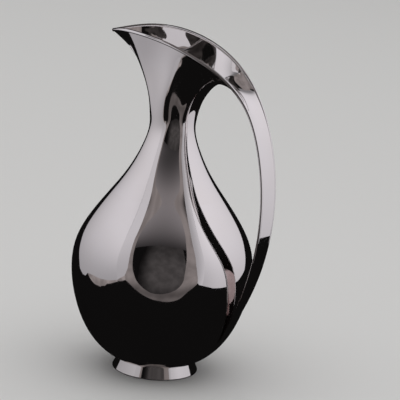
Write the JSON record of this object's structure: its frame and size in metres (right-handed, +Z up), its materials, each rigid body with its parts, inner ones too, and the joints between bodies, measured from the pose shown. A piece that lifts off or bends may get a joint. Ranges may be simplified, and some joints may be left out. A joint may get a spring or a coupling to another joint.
{
  "type": "jug",
  "caption": "Pear-shaped polished silver jug on a ring foot, with an oblique spouted mouth that runs on into an arched strap handle reaching down to the belly.",
  "frame": {"origin": "On the plane the jug stands on, under the middle of its overall length and width; the body's own axis is parallel to Z at x = -10.8 mm.", "axes": "+Z up; +X from the spout to the handle; the jug is symmetric about the plane Y = 0."},
  "size_m": [0.1672, 0.1456, 0.2763],
  "materials": {
    "body_silver": "mirror-polished silver, faint polishing marks",
    "mouth_silver": "mirror-polished silver, inside and outside",
    "handle_silver": "mirror-polished silver, lightly worn where it is gripped",
    "bead_silver": "polished silver bead",
    "foot_silver": "polished silver band, slightly duller at the standing edge"
  },
  "bodies": {
    "root": {"belly_bowl": "body_silver", "shoulder_shell": "body_silver", "mouth_funnel": "mouth_silver", "handle_strap": "handle_silver", "rim_wire": "bead_silver", "handle_wire_left": "bead_silver", "handle_wire_right": "bead_silver", "foot_band": "foot_silver"}
  },
  "joints": []
}
